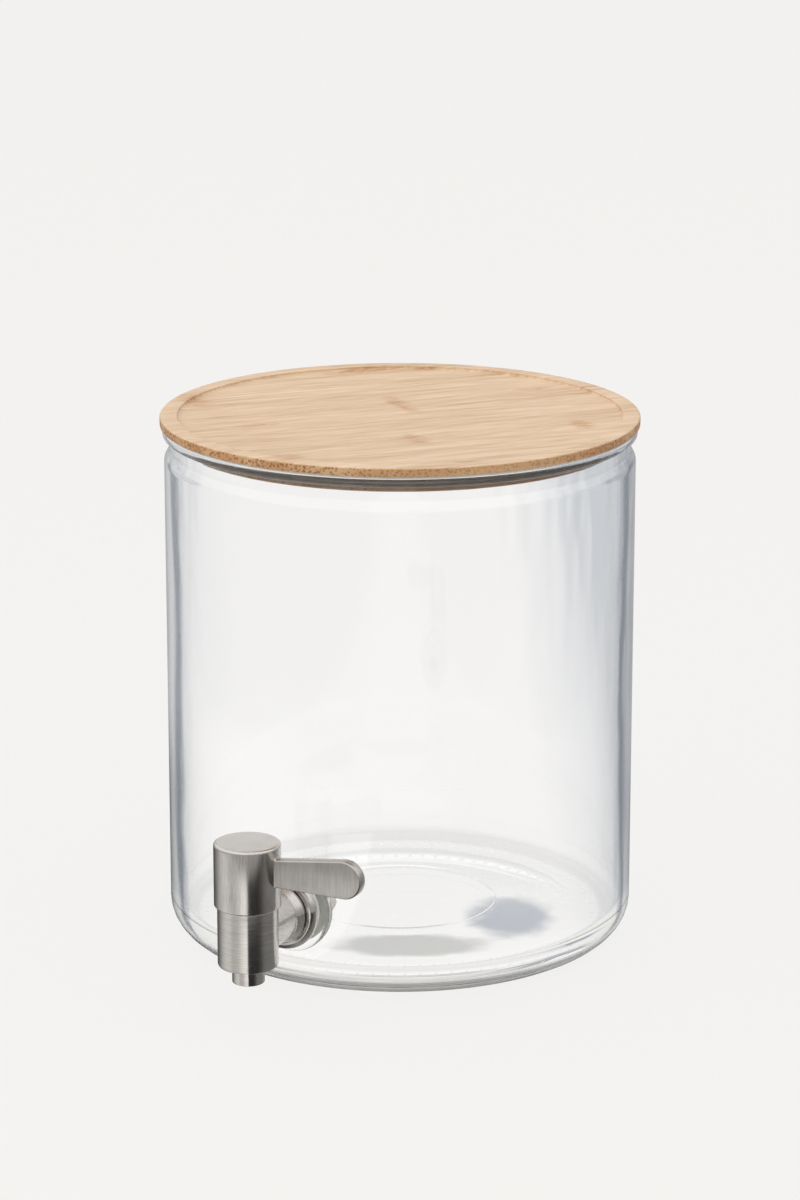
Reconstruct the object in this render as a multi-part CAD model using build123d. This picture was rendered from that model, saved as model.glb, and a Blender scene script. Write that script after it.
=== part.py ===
from build123d import *
from math import asin, atan2, cos, hypot, radians, sin, sqrt
import os

# Detergent dispenser: glass jar, bamboo lid on a silicone seal, quarter-turn tap.
# Millimetres, +Z up. The origin is on the jar's axis, in the plane that it stands on.
# The tap faces -Y, and its closed lever points along +X.

# Glass jar
jar_radius = 94.4
jar_height = 210.4
wall = 4.4
heel_radius = 14.0
bearing_inner_radius = 74.0
push_up = 4.5
base_disc_radius = 40.0
floor_thickness = 6.3
floor_rise = 3.0
rim_height = 3.4
rim_overhang = 0.6
rim_rounding = 1.4
neck_height = 5.6
neck_step = 2.0
shoulder_height = 3.8
mouth_wall = 3.9
mouth_depth = 10.0
pad_radius = 18.1
pad_face = 1.6
pad_rounding = 1.2
tap_hole_clearance = 0.6

# Bamboo lid and its silicone seal
board_thickness = 3.8
board_overhang = 1.0
board_rounding = 0.8
recess_rim = 7.0
recess_depth = 1.3
recess_cove = 0.9
recess_edge_rounding = 0.3
plug_depth = 7.5
plug_gap = 2.5
plug_rounding = 1.0
seal_groove_depth = 1.0
seal_groove_height = 5.0
seal_flange_thickness = 0.8
seal_flange_inset = 1.0
seal_sleeve_thickness = 1.6
fin_count = 3
fin_thickness = 0.6
fin_clearance = 0.3

# Tap: shank and what clamps it to the glass
tap_height = 36.1
tap_reach = 33.0
thread_radius = 8.0
thread_pitch = 1.5
thread_depth = 0.8
tail_end = 2.3
shank_bore_radius = 4.5
neck_radius = 10.7
collar_radius = 12.1
collar_width = 1.0
flare_length = 3.4
collar_seat_radius = 10.8
collar_relief = 0.5
flange_radius = 15.4
flange_thickness = 4.8
flange_front_rounding = 2.6
flange_back_rounding = 1.6
outer_gasket_radius = 14.4
outer_gasket_thickness = 2.0
inner_gasket_radius = 15.2
inner_gasket_thickness = 3.6
washer_radius = 14.0
washer_thickness = 1.2
nut_across_flats = 24.0
nut_thickness = 6.0
nut_chamfer = 1.0
slide_clearance = 0.3
thread_clearance = 0.05

# Tap: body, core and outlet
body_radius = 11.8
body_bottom = 22.7
body_height = 24.3
body_rounding = 1.5
body_top_rounding = 0.3
core_bore_radius = 7.0
core_clearance = 0.05
core_end_gap = 0.3
web_thickness = 1.5
socket_depth = 3.0
nozzle_radius = 6.3
nozzle_bore_radius = 4.5
nozzle_drop = 6.7
nozzle_rounding = 0.5
core_passage_radius = 3.8
port_radius = 3.4
port_seal_radius = 5.5
collar_step = 1.6
collar_thickness = 1.5
collar_gap = 0.3
gland_radius = 9.0
gland_thickness = 2.3
spanner_hole_radius = 0.6
stem_radius = 5.0
stem_length = 19.0
stem_flat_depth = 0.8
stem_flat_height = 14.0
ring_section = 0.65
ring_groove_clearance = 0.1
ring_land = 1.0

# Tap: handle
cap_radius = 13.0
cap_height = 25.3
cap_gap = 0.4
cap_top_rounding = 1.2
cap_bottom_rounding = 0.5
slip_washer_thickness = 0.3
lever_reach = 49.9
lever_thickness = 4.6
lever_root_height = 10.9
lever_tip_height = 15.0
lever_root_rise = 9.5
lever_rounding = 0.7
quarter_turn = 90.0
pin_radius = 0.9
pin_circle_radius = 10.4
pin_angle = 45.0
pin_rise = 2.5
pin_sink = 3.0
pin_clearance = 0.3
screw_radius = 2.0
screw_recess = 0.6
screw_key_across_flats = 2.0
screw_key_depth = 2.5
screw_rise = 12.6

# Heights and radii that follow from the sizes above
glass_top = jar_height
inner_radius = jar_radius - wall
rim_radius = jar_radius + rim_overhang
jar_neck_radius = jar_radius - neck_step
mouth_radius = jar_neck_radius - mouth_wall
floor_top = push_up + floor_thickness
floor_edge = floor_top - floor_rise
board_bottom = glass_top + seal_flange_thickness
board_top = board_bottom + board_thickness
board_radius = rim_radius + board_overhang
plug_radius = mouth_radius - plug_gap
plug_bottom = board_bottom - plug_depth

tap_axis_y = -(jar_radius + tap_reach)
body_top = body_bottom + body_height
web_top = body_bottom + socket_depth + web_thickness
cap_bottom = body_top + cap_gap
cap_top = cap_bottom + cap_height
core_radius = core_bore_radius - core_clearance
gland_bottom = body_top - gland_thickness
collar_top = gland_bottom - collar_gap
collar_bottom = collar_top - collar_thickness
counterbore_bottom = collar_bottom - collar_gap
stem_top = collar_top + stem_length + gland_thickness

# Distances out from the jar's wall, along the shank
gasket_face = pad_face + outer_gasket_thickness
flange_face = gasket_face + flange_thickness
collar_back = flange_face + collar_relief
washer_face = -(wall + inner_gasket_thickness)
nut_face = washer_face - washer_thickness
nut_back = nut_face - nut_thickness
tail_back = nut_back - tail_end


def turned(points, roundings):
    """Revolve a closed outline of (radius, height) points; roundings maps a point's index to its radius."""
    outline = make_face(Polyline(*points, close=True))
    for index, radius in roundings.items():
        corner = outline.vertices().sort_by_distance(Vector(*points[index]))[0]
        outline = fillet(corner, radius)
    return revolve(Plane.XZ * outline, Axis.Z)


def ring(inner, outer, bottom, top):
    """A plain ring about the Z axis."""
    height = top - bottom
    middle = Pos(0, 0, (top + bottom) / 2)
    return middle * (Cylinder(outer, height) - Cylinder(inner, height))


def rod(radius, bottom, top):
    """A plain round bar about the Z axis."""
    return Pos(0, 0, (top + bottom) / 2) * Cylinder(radius, top - bottom)


# The shank's own frame: its Z runs outwards from the jar's wall, along -Y.
shank_place = Pos(0, -jar_radius, tap_height) * Rot(90, 0, 0)
tap_place = Pos(0, tap_axis_y, 0)


def jar_inside():
    """The hollow of the jar, with its own heel, shoulder and mouth."""
    points = [
        (0, floor_top),
        (base_disc_radius, floor_top),
        (inner_radius, floor_edge),
        (inner_radius, glass_top - mouth_depth - shoulder_height),
        (mouth_radius, glass_top - mouth_depth),
        (mouth_radius, glass_top + 1),
        (0, glass_top + 1),
    ]
    return turned(points, {1: base_disc_radius / 8, 2: heel_radius - wall, 3: wall, 4: wall})


def glass_jar():
    """Moulded glass: heel, straight wall, short neck, rolled rim and a flat pad round the tap hole."""
    neck_bottom = glass_top - rim_height - neck_height
    points = [
        (0, push_up),
        (base_disc_radius, push_up),
        (bearing_inner_radius, 0),
        (jar_radius, 0),
        (jar_radius, neck_bottom - shoulder_height),
        (jar_neck_radius, neck_bottom),
        (jar_neck_radius, glass_top - rim_height),
        (rim_radius, glass_top - rim_height),
        (rim_radius, glass_top),
        (0, glass_top),
    ]
    roundings = {
        1: base_disc_radius / 8,
        2: push_up,
        3: heel_radius,
        4: neck_step * 2,
        5: neck_step,
        6: rim_overhang,
        7: rim_rounding,
        8: rim_rounding,
    }
    body = turned(points, roundings)
    pad = turned(
        [(0, -wall), (pad_radius, -wall), (pad_radius, pad_face), (0, pad_face)], {2: pad_rounding}
    )
    body += shank_place * pad
    body -= jar_inside()
    mouth_edge = body.edges().filter_by(GeomType.CIRCLE).filter_by(
        lambda e: abs(e.radius - mouth_radius) < 0.01 and abs(e.center().Z - glass_top) < 0.01
    )
    body = fillet(mouth_edge, rim_overhang)
    hole = rod(thread_radius + tap_hole_clearance, -2 * wall, pad_face + wall)
    return body - shank_place * hole


def lid_board():
    """Round bamboo board with a shallow recess, its wall coved, inside a narrow rim."""
    recess_radius = board_radius - recess_rim
    points = [
        (0, board_bottom),
        (board_radius, board_bottom),
        (board_radius, board_top),
        (recess_radius, board_top),
        (recess_radius, board_top - recess_depth),
        (0, board_top - recess_depth),
    ]
    return turned(points, {1: board_rounding, 2: board_rounding, 3: recess_edge_rounding, 4: recess_cove})


def seal_groove_bottom():
    """Height of the lower side of the groove that holds the seal's sleeve."""
    return board_bottom - seal_flange_thickness - seal_groove_height


def lid_plug():
    """Bamboo disc glued under the board, grooved round its edge for the seal."""
    groove_floor = plug_radius - seal_groove_depth
    points = [
        (0, plug_bottom),
        (plug_radius, plug_bottom),
        (plug_radius, seal_groove_bottom()),
        (groove_floor, seal_groove_bottom()),
        (groove_floor, board_bottom),
        (0, board_bottom),
    ]
    return turned(points, {1: plug_rounding})


def lid_seal():
    """Silicone ring: a sleeve in the plug's groove, fins towards the glass and a flange on the rim."""
    inner = plug_radius - seal_groove_depth
    sleeve_outer = inner + seal_sleeve_thickness
    bottom = seal_groove_bottom()
    seal = ring(inner, sleeve_outer, bottom, board_bottom)
    seal += ring(inner, rim_radius - seal_flange_inset, glass_top, board_bottom)
    fin_pitch = seal_groove_height / fin_count
    for i in range(fin_count):
        fin_bottom = bottom + i * fin_pitch + fin_thickness
        seal += ring(inner, mouth_radius - fin_clearance, fin_bottom, fin_bottom + fin_thickness)
    return seal


def tap_shank():
    """Neck with a collar and a threaded tail, bored through, coped to the valve body's side."""
    points = [(0, tail_back)]
    teeth = round((flange_face - tail_back) / thread_pitch)
    pitch = (flange_face - tail_back) / teeth
    for i in range(teeth):
        points.append((thread_radius - thread_depth, tail_back + i * pitch))
        points.append((thread_radius, tail_back + (i + 0.4) * pitch))
        points.append((thread_radius, tail_back + (i + 0.6) * pitch))
    points += [
        (thread_radius - thread_depth, flange_face),
        (collar_seat_radius, flange_face),
        (collar_seat_radius, collar_back),
        (collar_radius, collar_back),
        (collar_radius, collar_back + collar_width),
        (neck_radius, collar_back + collar_width + flare_length),
        (neck_radius, tap_reach),
        (0, tap_reach),
    ]
    last = len(points) - 1
    shank = turned(points, {last - 3: collar_width, last - 2: flare_length})
    shank -= rod(shank_bore_radius, tail_back, tap_reach)
    return shank_place * shank - tap_place * rod(body_radius, 0, cap_top)


def shank_flange():
    """Escutcheon washer with a bull-nosed edge, on the thread between the collar and the gasket."""
    points = [
        (thread_radius + slide_clearance, gasket_face),
        (flange_radius, gasket_face),
        (flange_radius, flange_face),
        (thread_radius + slide_clearance, flange_face),
    ]
    return shank_place * turned(points, {1: flange_back_rounding, 2: flange_front_rounding})


def outer_gasket():
    """Flat silicone gasket between the flange and the glass pad."""
    return shank_place * ring(thread_radius + slide_clearance, outer_gasket_radius, pad_face, gasket_face)


def inner_gasket():
    """Thick silicone gasket whose front follows the round inside of the glass."""
    blank = ring(thread_radius + slide_clearance, inner_gasket_radius, washer_face, 0)
    return shank_place * blank & rod(inner_radius, 0, glass_top)


def backing_washer():
    """Flat steel washer between the inner gasket and the nut."""
    return shank_place * ring(thread_radius + slide_clearance, washer_radius, nut_face, washer_face)


def lock_nut():
    """Hexagon nut on the tail, its corners chamfered on both faces."""
    hexagon = extrude(RegularPolygon(nut_across_flats / 2, 6, major_radius=False), nut_thickness)
    corner_radius = nut_across_flats / sqrt(3)
    blank = chamfer(Cylinder(corner_radius, nut_thickness).edges().filter_by(GeomType.CIRCLE), nut_chamfer)
    nut = (Pos(0, 0, nut_back) * hexagon) & (Pos(0, 0, (nut_back + nut_face) / 2) * blank)
    nut -= rod(thread_radius + thread_clearance, nut_back, nut_face)
    return shank_place * nut


def stop_pin_place():
    """Centre of the stop pin in the tap's own frame."""
    angle = radians(pin_angle)
    return Pos(pin_circle_radius * cos(angle), pin_circle_radius * sin(angle), 0)


def tap_body():
    """Upright cylinder, bored for the core, with an inlet at the back and a socket for the nozzle."""
    points = [(0, body_bottom), (body_radius, body_bottom), (body_radius, body_top), (0, body_top)]
    body = turned(points, {1: body_rounding, 2: body_top_rounding})
    body -= rod(core_bore_radius, web_top, body_top)
    body -= rod(gland_radius, counterbore_bottom, body_top)
    body -= rod(nozzle_bore_radius, body_bottom, web_top)
    body -= rod(nozzle_radius, body_bottom, body_bottom + socket_depth)
    body -= stop_pin_place() * rod(pin_radius, body_top - pin_sink, body_top)
    inlet = Pos(0, body_radius, tap_height) * Rot(90, 0, 0) * Cylinder(port_seal_radius, 2 * body_radius)
    return tap_place * (body - inlet)


def outlet_nozzle():
    """Outlet tube pressed into the socket under the body."""
    bottom = body_bottom - nozzle_drop
    top = body_bottom + socket_depth
    points = [
        (nozzle_bore_radius, bottom),
        (nozzle_radius, bottom),
        (nozzle_radius, top),
        (nozzle_bore_radius, top),
    ]
    return tap_place * turned(points, {0: nozzle_rounding, 1: nozzle_rounding})


def ring_heights():
    """Heights of the two O-rings on the core, above and below its port."""
    offset = port_radius + ring_land + ring_section + ring_groove_clearance
    return tap_height - offset, tap_height + offset


def valve_core():
    """Plug with a blind passage from below, a side port, two ring grooves, a collar and a stem."""
    points = [
        (0, web_top + core_end_gap),
        (core_radius, web_top + core_end_gap),
        (core_radius, collar_bottom),
        (gland_radius - collar_gap, collar_bottom),
        (gland_radius - collar_gap, collar_top),
        (stem_radius, collar_top),
        (stem_radius, stem_top),
        (0, stem_top),
    ]
    core = turned(points, {6: ring_section})
    core -= rod(core_passage_radius, web_top, tap_height + port_radius)
    core -= Pos(-core_radius / 2, 0, tap_height) * Rot(0, 90, 0) * Cylinder(port_radius, core_radius)
    groove_floor = core_radius - 2 * ring_section
    groove_half = ring_section + ring_groove_clearance
    for height in ring_heights():
        core -= ring(groove_floor, core_bore_radius, height - groove_half, height + groove_half)
    flat_x = -(stem_radius - stem_flat_depth)
    flat = Pos(flat_x - stem_radius, 0, stem_top) * Box(2 * stem_radius, 4 * stem_radius, 2 * stem_flat_height)
    return tap_place * (core - flat)


def core_o_ring(height):
    """One O-ring in its groove of the core."""
    return tap_place * Pos(0, 0, height) * Torus(core_radius - ring_section, ring_section)


def port_seal():
    """Sleeve in the inlet: its inner end is hollowed to the core, its outer end lies on the shank."""
    length = 2 * body_radius
    sleeve = Cylinder(port_seal_radius, length) - Cylinder(port_radius, length)
    sleeve = Pos(0, body_radius, tap_height) * Rot(90, 0, 0) * sleeve
    sleeve &= rod(body_radius, body_bottom, body_top)
    return tap_place * (sleeve - rod(core_bore_radius, body_bottom, body_top))


def gland_nut():
    """Threaded ring flush with the body's top, with two holes for a pin spanner."""
    gland = ring(stem_radius + collar_gap, gland_radius, gland_bottom, body_top)
    for side in (-1, 1):
        middle = (stem_radius + collar_gap + gland_radius) / 2
        gland -= Pos(0, side * middle, 0) * rod(spanner_hole_radius, gland_bottom, body_top)
    return tap_place * gland


def slip_washer():
    """Thin plastic washer that the cap turns over."""
    return tap_place * ring(stem_radius + collar_gap, gland_radius, body_top, body_top + slip_washer_thickness)


def stop_pin():
    """Short pin standing in the body's top."""
    return tap_place * stop_pin_place() * rod(pin_radius, body_top - pin_sink, body_top + pin_rise)


def stop_slot():
    """Curved slot in the cap's underside, a quarter turn long for the pin's centre."""
    half_width = pin_radius + pin_clearance
    inner = pin_circle_radius - half_width
    depth = pin_rise - cap_gap + pin_clearance
    outer = pin_circle_radius + half_width
    outline = make_face(Polyline((inner, 0), (outer, 0), (outer, depth), (inner, depth), close=True))
    slot = revolve(Plane.XZ * outline, Axis.Z, revolution_arc=quarter_turn)
    end = rod(half_width, 0, depth)
    slot += Pos(pin_circle_radius, 0, 0) * end
    slot += Rot(0, 0, quarter_turn) * Pos(pin_circle_radius, 0, 0) * end
    return Rot(0, 0, pin_angle) * slot


def handle_cap():
    """Turned cap with a blind bore for the stem, a stop slot below and a set-screw hole at the back."""
    points = [(0, cap_bottom), (cap_radius, cap_bottom), (cap_radius, cap_top), (0, cap_top)]
    cap = turned(points, {1: cap_bottom_rounding, 2: cap_top_rounding})
    cap -= rod(stem_radius + core_clearance, cap_bottom, stem_top + core_end_gap)
    cap -= Pos(0, 0, cap_bottom) * stop_slot()
    hole_length = cap_radius + 1
    hole = Rot(0, 90, 0) * Cylinder(screw_radius + thread_clearance, hole_length)
    cap -= Pos(-hole_length / 2, 0, cap_bottom + screw_rise) * hole
    return tap_place * cap


def handle_lever():
    """Flat paddle, deeper at its round tip, coped and welded to the cap's side."""
    root = cap_bottom + lever_root_rise
    root_top = root + lever_root_height
    hidden_root = cap_radius / 2
    tip_radius = lever_tip_height / 2
    tip_x = lever_reach - tip_radius
    tip_z = root + tip_radius
    centre_slope = atan2(tip_z - root_top, tip_x - cap_radius)
    top_slope = centre_slope + asin(tip_radius / hypot(tip_x - cap_radius, tip_z - root_top))
    outline = make_face(
        Polyline(
            (hidden_root, root),
            (tip_x, root),
            (tip_x - tip_radius * sin(top_slope), tip_z + tip_radius * cos(top_slope)),
            (cap_radius, root_top),
            (hidden_root, root_top),
            close=True,
        )
    )
    outline += Pos(tip_x, tip_z) * Circle(tip_radius)
    blade = extrude(Plane.XZ * outline, lever_thickness / 2, both=True)
    sides = blade.faces().sort_by(Axis.Y)
    blade = fillet(sides[0].edges() + sides[-1].edges(), lever_rounding)
    return tap_place * (blade - rod(cap_radius, 0, cap_top + cap_height))


def handle_set_screw():
    """Grub screw with a hexagon socket, against the stem's flat."""
    length = cap_radius - screw_recess - (stem_radius - stem_flat_depth)
    screw = rod(screw_radius, 0, length)
    screw -= extrude(RegularPolygon(screw_key_across_flats / 2, 6, major_radius=False), screw_key_depth)
    outer_end = Pos(-(cap_radius - screw_recess), 0, cap_bottom + screw_rise)
    return tap_place * outer_end * Rot(0, 90, 0) * screw


lower_ring, upper_ring = ring_heights()
nodes = {
    "glass_jar": glass_jar(),
    "lid_board": lid_board(),
    "lid_plug": lid_plug(),
    "lid_seal": lid_seal(),
    "tap_shank": tap_shank(),
    "shank_flange": shank_flange(),
    "outer_gasket": outer_gasket(),
    "inner_gasket": inner_gasket(),
    "backing_washer": backing_washer(),
    "lock_nut": lock_nut(),
    "tap_body": tap_body(),
    "outlet_nozzle": outlet_nozzle(),
    "valve_core": valve_core(),
    "core_o_ring_upper": core_o_ring(upper_ring),
    "core_o_ring_lower": core_o_ring(lower_ring),
    "port_seal": port_seal(),
    "gland_nut": gland_nut(),
    "slip_washer": slip_washer(),
    "stop_pin": stop_pin(),
    "handle_cap": handle_cap(),
    "handle_lever": handle_lever(),
    "handle_set_screw": handle_set_screw(),
}

os.makedirs("parts", exist_ok=True)
for name, shape in nodes.items():
    export_step(shape, f"parts/{name}.step")
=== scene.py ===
import math

import bpy
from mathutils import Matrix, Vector


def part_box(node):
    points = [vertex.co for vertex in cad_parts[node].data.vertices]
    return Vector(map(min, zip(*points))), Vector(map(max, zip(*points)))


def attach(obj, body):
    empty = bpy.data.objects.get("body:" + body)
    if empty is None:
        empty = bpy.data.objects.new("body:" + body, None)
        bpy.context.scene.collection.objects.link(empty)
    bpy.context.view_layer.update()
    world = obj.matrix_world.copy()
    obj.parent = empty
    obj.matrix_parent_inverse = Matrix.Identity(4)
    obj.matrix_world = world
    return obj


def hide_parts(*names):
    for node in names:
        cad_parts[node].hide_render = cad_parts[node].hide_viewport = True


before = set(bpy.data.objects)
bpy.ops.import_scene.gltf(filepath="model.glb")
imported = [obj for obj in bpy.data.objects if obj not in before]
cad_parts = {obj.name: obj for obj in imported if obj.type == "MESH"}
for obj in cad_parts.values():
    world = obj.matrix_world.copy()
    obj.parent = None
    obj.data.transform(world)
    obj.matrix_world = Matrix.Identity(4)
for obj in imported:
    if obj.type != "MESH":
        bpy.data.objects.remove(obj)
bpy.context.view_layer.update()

mm = 0.001


# ---------------------------------------------------------------- glass jar
# A pressed soda-lime glass jar with a rolled rim, a short neck, a round heel and a pushed-up base.
# The mould leaves a flat pad for the tap, a raised ring line on the inside of the base and a row
# of short marks under the heel.

def rounded(points, radii, steps=8):
    """The outline with an arc in place of each corner that radii names."""
    outline = []
    for i, point in enumerate(points):
        corner = Vector(point)
        if i not in radii:
            outline.append(corner)
            continue
        before = (Vector(points[i - 1]) - corner).normalized()
        after = (Vector(points[(i + 1) % len(points)]) - corner).normalized()
        half = before.angle(after) / 2
        centre = corner + (before + after).normalized() * radii[i] / math.sin(half)
        start = corner + before * radii[i] / math.tan(half) - centre
        end = corner + after * radii[i] / math.tan(half) - centre
        sweep = start.angle(end)
        for k in range(steps + 1):
            back = math.sin((1 - k / steps) * sweep) / math.sin(sweep)
            on = math.sin(k / steps * sweep) / math.sin(sweep)
            outline.append(centre + start * back + end * on)
    return outline


middle, upwards, sideways = Vector((0, 0, 0)), Vector((0, 0, 1)), Vector((1, 0, 0))


def turn(name, outline, steps, centre=middle, axis=upwards, side=sideways):
    """Draws the outline of (radius, height) points from one vertex and spins it a full turn."""
    bpy.ops.object.select_all(action="DESELECT")
    bpy.ops.mesh.primitive_plane_add(size=mm, location=(0, 0, 0))
    piece = bpy.context.object
    piece.name = name
    piece.data.name = name
    places = [centre + axis * height + side * radius for radius, height in outline]
    bpy.ops.object.mode_set(mode="EDIT")
    bpy.ops.mesh.select_all(action="SELECT")
    bpy.ops.mesh.merge(type="CENTER")
    bpy.ops.transform.translate(value=places[0])
    for start, end in zip(places, places[1:]):
        bpy.ops.mesh.extrude_vertices_move(TRANSFORM_OT_translate={"value": end - start})
    bpy.ops.mesh.select_all(action="SELECT")
    bpy.ops.mesh.spin(steps=steps, angle=math.tau, center=centre, axis=axis)
    bpy.ops.mesh.select_all(action="SELECT")
    bpy.ops.mesh.remove_doubles(threshold=0.001 * mm)
    bpy.ops.mesh.normals_make_consistent(inside=False)
    bpy.ops.object.mode_set(mode="OBJECT")
    return piece


def combine(piece, tool, operation):
    """Joins the tool to the piece, or cuts it out of the piece, and takes the tool away."""
    bpy.ops.object.select_all(action="DESELECT")
    bpy.context.view_layer.objects.active = piece
    piece.select_set(True)
    bpy.ops.object.modifier_add(type="BOOLEAN")
    piece.modifiers[-1].operation = operation
    piece.modifiers[-1].object = tool
    piece.modifiers[-1].solver = "EXACT"
    bpy.ops.object.modifier_apply(modifier=piece.modifiers[-1].name)
    bpy.data.objects.remove(tool)


def smooth(piece, degrees):
    """Shades the piece smooth, with edges sharper than this angle kept crisp."""
    bpy.ops.object.select_all(action="DESELECT")
    bpy.context.view_layer.objects.active = piece
    piece.select_set(True)
    bpy.ops.object.shade_smooth_by_angle(angle=math.radians(degrees))


jar_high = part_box("glass_jar")[1]
rim_radius = jar_high.x
jar_top = jar_high.z
jar_radius = rim_radius - 0.6 * mm
jar_neck_radius = jar_radius - 2.0 * mm
mouth_radius = jar_neck_radius - 3.9 * mm
wall = 4.4 * mm
inner_radius = jar_radius - wall
push_up = 4.5 * mm
base_disc_radius = 40.0 * mm
floor_top = push_up + 6.3 * mm
rim_bottom = jar_top - 3.4 * mm
neck_bottom = rim_bottom - 5.6 * mm
shoulder_height = 3.8 * mm
shoulder_bottom = neck_bottom - shoulder_height
mouth_bottom = jar_top - 10.0 * mm
outer_courses = [(jar_radius, height * 10.0 * mm) for height in range(2, 19)]
inner_courses = [(inner_radius, height * 10.0 * mm) for height in range(18, 1, -1)]
bead_radius = base_disc_radius - 1.2 * mm
bead_top = floor_top + 0.6 * mm
bearing_inner_radius = 74.0 * mm
outside = [
    (0, push_up),
    (base_disc_radius, push_up),
    (bearing_inner_radius, 0),
    (jar_radius, 0),
    *outer_courses,
    (jar_radius, shoulder_bottom),
    (jar_neck_radius, neck_bottom),
    (jar_neck_radius, rim_bottom),
    (rim_radius, rim_bottom),
    (rim_radius, jar_top),
    (mouth_radius, jar_top),
    (mouth_radius, mouth_bottom),
    (inner_radius, mouth_bottom - shoulder_height),
    *inner_courses,
    (inner_radius, floor_top - 3.0 * mm),
    (base_disc_radius, floor_top),
    (bead_radius + 0.5 * mm, floor_top),
    (bead_radius + 0.2 * mm, bead_top),
    (bead_radius - 0.2 * mm, bead_top),
    (bead_radius - 0.5 * mm, floor_top),
    (0, floor_top),
]
heel = outside.index((jar_radius, 0))
first = heel + 1 + len(outer_courses)
last = len(outside) - 1
jar_roundings = {
    heel - 2: 5.0 * mm,
    heel - 1: 4.5 * mm,
    heel: 14.0 * mm,
    first: 4.0 * mm,
    first + 1: 2.0 * mm,
    first + 2: 0.6 * mm,
    first + 3: 1.4 * mm,
    first + 4: 1.4 * mm,
    first + 5: 0.6 * mm,
    first + 6: 4.0 * mm,
    first + 7: 4.0 * mm,
    last - 6: 9.6 * mm,
    last - 5: 5.0 * mm,
}
jar = turn("jar", rounded(outside, jar_roundings), 256)

tap_axis_y = sum(corner.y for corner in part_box("tap_body")) / 2
tap_axis = Vector((0, tap_axis_y, 0))
shank_height = sum(corner.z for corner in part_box("shank_flange")) / 2
shank_foot = Vector((0, -jar_radius, shank_height))
outwards = Vector((0, -1, 0))
pad_radius = 18.1 * mm
pad_face = 1.6 * mm
pad_root = -3.0 * mm
pad_outline = [(0, pad_root), (pad_radius, pad_root), (pad_radius, pad_face), (0, pad_face)]
pad = turn("pad", rounded(pad_outline, {2: 1.2 * mm}), 96, shank_foot, outwards)
combine(jar, pad, "UNION")
hole_radius = 8.6 * mm
hole_reach = 9.0 * mm
hole_outline = [
    (0, -hole_reach),
    (hole_radius, -hole_reach),
    (hole_radius, hole_reach),
    (0, hole_reach),
]
combine(jar, turn("hole", hole_outline, 64, shank_foot, outwards), "DIFFERENCE")

mark_count = 82
mark_shape = (3.2, 0.5, 0.42)
mark_tilt = math.radians(-6)
mark_place = (80.8 * mm, 0, 0.1 * mm)
bpy.ops.object.select_all(action="DESELECT")
bpy.ops.mesh.primitive_uv_sphere_add(segments=16, ring_count=10, radius=mm, location=(0, 0, 0))
marks = bpy.context.object
bpy.ops.object.mode_set(mode="EDIT")
bpy.ops.mesh.select_all(action="SELECT")
bpy.ops.transform.resize(value=mark_shape, center_override=(0, 0, 0))
bpy.ops.transform.rotate(value=mark_tilt, orient_axis="Y", center_override=(0, 0, 0))
bpy.ops.transform.translate(value=mark_place)
copies = mark_count - 1
all_round = math.tau * copies / mark_count
bpy.ops.mesh.spin(steps=copies, dupli=True, angle=all_round, center=(0, 0, 0), axis=(0, 0, 1))
bpy.ops.object.mode_set(mode="OBJECT")
combine(jar, marks, "DIFFERENCE")
smooth(jar, 40)


def node_adder(tree):
    """Empties the node tree and gives a way to add a node to it with its inputs set or linked."""
    tree.nodes.clear()

    def add(kind, settings=(), **inputs):
        made = tree.nodes.new("ShaderNode" + kind)
        for key, value in dict(settings).items():
            setattr(made, key, value)
        for key, value in inputs.items():
            by_number = key[0] == "i" and key[1:].isdigit()
            found = int(key[1:]) if by_number else key.replace("_", " ")
            if isinstance(value, bpy.types.NodeSocket):
                tree.links.new(value, made.inputs[found])
            else:
                made.inputs[found].default_value = value
        return made

    return add


def paint(name):
    """An empty material, and a way to add nodes to it."""
    material = bpy.data.materials.new(name)
    material.use_nodes = True
    return material, node_adder(material.node_tree)


def maths(add, operation, *values):
    """A maths node's result."""
    inputs = {f"i{k}": value for k, value in enumerate(values)}
    return add("Math", {"operation": operation}, **inputs).outputs[0]


def vectors(add, operation, *values):
    """A vector maths node's result, which is a number for a length or a dot product."""
    inputs = {f"i{k}": value for k, value in enumerate(values)}
    result = "Value" if operation in ("LENGTH", "DOT_PRODUCT") else "Vector"
    return add("VectorMath", {"operation": operation}, **inputs).outputs[result]


def rescale(add, value, low, high, to_low=0, to_high=1, curve="LINEAR"):
    """The value moved from one range to another and kept inside it."""
    kind = {"interpolation_type": curve}
    return add("MapRange", kind, Value=value, i1=low, i2=high, i3=to_low, i4=to_high).outputs[0]


def blend(add, share, first, second, kind="MIX"):
    """The first colour with a share of the second laid over it."""
    kinds = {"data_type": "RGBA", "blend_type": kind}
    return add("Mix", kinds, i0=share, i6=first, i7=second).outputs[2]


def ramp(add, factor, *stops):
    """A colour ramp with the given (place, colour) stops."""
    made = add("ValToRGB", Fac=factor)
    elements = made.color_ramp.elements
    elements.remove(elements[1])
    elements[0].position = stops[0][0]
    elements[0].color = (*stops[0][1], 1)
    for place, colour in stops[1:]:
        elements.new(place).color = (*colour, 1)
    return made.outputs["Color"]


def dress(piece, material, body, slot, *nodes):
    """Gives a finished piece its material, the body it rides on and the CAD nodes it stands for."""
    piece.data.materials.clear()
    piece.data.materials.append(material)
    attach(piece, body)
    if nodes:
        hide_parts(*nodes)


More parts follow.
